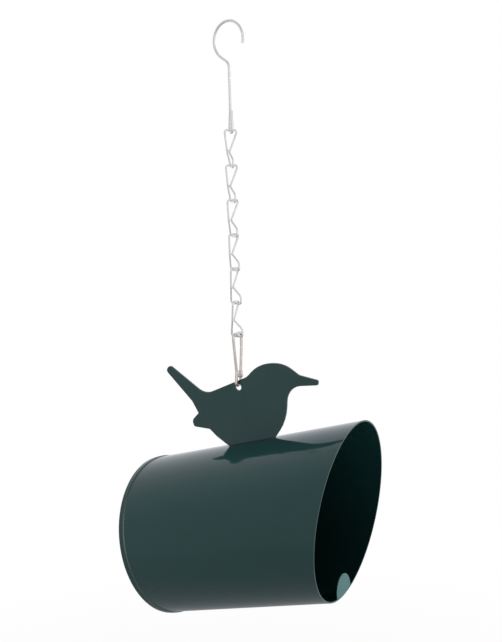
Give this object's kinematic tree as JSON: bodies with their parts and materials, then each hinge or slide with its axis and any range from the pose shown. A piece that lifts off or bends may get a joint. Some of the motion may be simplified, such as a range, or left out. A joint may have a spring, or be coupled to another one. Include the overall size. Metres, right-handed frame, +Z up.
{
  "type": "hanging jar bird feeder",
  "caption": "Hanging feeder for a jar of peanut butter: a slant-mouthed steel tube with a closed back and a bird-shaped plate on top, hung by snap hook, wire chain and hook.",
  "frame": {"origin": "inside top of the hook's crook, the point the feeder hangs from", "axes": "+Z up along the hanging line; +X forward towards the tube's mouth, in the plane of the bird plate; +Y through the bird plate"},
  "size_m": [0.1474, 0.1012, 0.3674],
  "materials": {
    "green_paint": "dark grey-green gloss paint on sheet steel",
    "zinc_wire": "bright zinc-plated steel wire",
    "snap_hook_metal": "nickel-plated steel"
  },
  "bodies": {
    "hook": {"hanging_hook": "zinc_wire"},
    "link_1": {"chain_link_1": "zinc_wire"},
    "link_2": {"chain_link_2": "zinc_wire"},
    "link_3": {"chain_link_3": "zinc_wire"},
    "link_4": {"chain_link_4": "zinc_wire"},
    "link_5": {"chain_link_5": "zinc_wire"},
    "link_6": {"chain_link_6": "zinc_wire"},
    "snap_hook": {"snap_hook_body": "snap_hook_metal", "gate_rivet": "snap_hook_metal"},
    "gate": {"snap_hook_gate": "snap_hook_metal"},
    "feeder": {"feeder_tube": "green_paint", "back_panel": "green_paint", "bird_plate": "green_paint", "bird_weld": "green_paint"}
  },
  "joints": [
    {"name": "link_1_swing", "type": "hinge", "parent": "hook", "child": "link_1", "pos_m": [0, 0, -0.06087], "axis": [-0.766, 0.6428, 0], "range_deg": [-35, 35]},
    {"name": "link_2_swing", "type": "hinge", "parent": "link_1", "child": "link_2", "pos_m": [0, 0, -0.07933], "axis": [0.6428, 0.766, 0], "range_deg": [-35, 35]},
    {"name": "link_3_swing", "type": "hinge", "parent": "link_2", "child": "link_3", "pos_m": [0, 0, -0.10068], "axis": [-0.766, 0.6428, 0], "range_deg": [-35, 35]},
    {"name": "link_4_swing", "type": "hinge", "parent": "link_3", "child": "link_4", "pos_m": [0, 0, -0.11933], "axis": [0.342, 0.9397, 0], "range_deg": [-35, 35]},
    {"name": "link_5_swing", "type": "hinge", "parent": "link_4", "child": "link_5", "pos_m": [0, 0, -0.14067], "axis": [-0.9397, 0.342, 0], "range_deg": [-35, 35]},
    {"name": "link_6_swing", "type": "hinge", "parent": "link_5", "child": "link_6", "pos_m": [0, 0, -0.15932], "axis": [0, 1, 0], "range_deg": [-35, 35]},
    {"name": "snap_hook_swing", "type": "hinge", "parent": "link_6", "child": "snap_hook", "pos_m": [0, 0, -0.18068], "axis": [1, 0, 0], "range_deg": [-35, 35]},
    {"name": "feeder_swing", "type": "hinge", "parent": "snap_hook", "child": "feeder", "pos_m": [0, 0, -0.21097], "axis": [0, 1, 0], "range_deg": [-35, 35]},
    {"name": "gate_open", "type": "hinge", "parent": "snap_hook", "child": "gate", "pos_m": [0, 0.0026, -0.20558], "axis": [1, 0, 0], "range_deg": [0, 20], "stiffness_Nm_per_rad": 0.02, "springref_deg": -28.65}
  ]
}
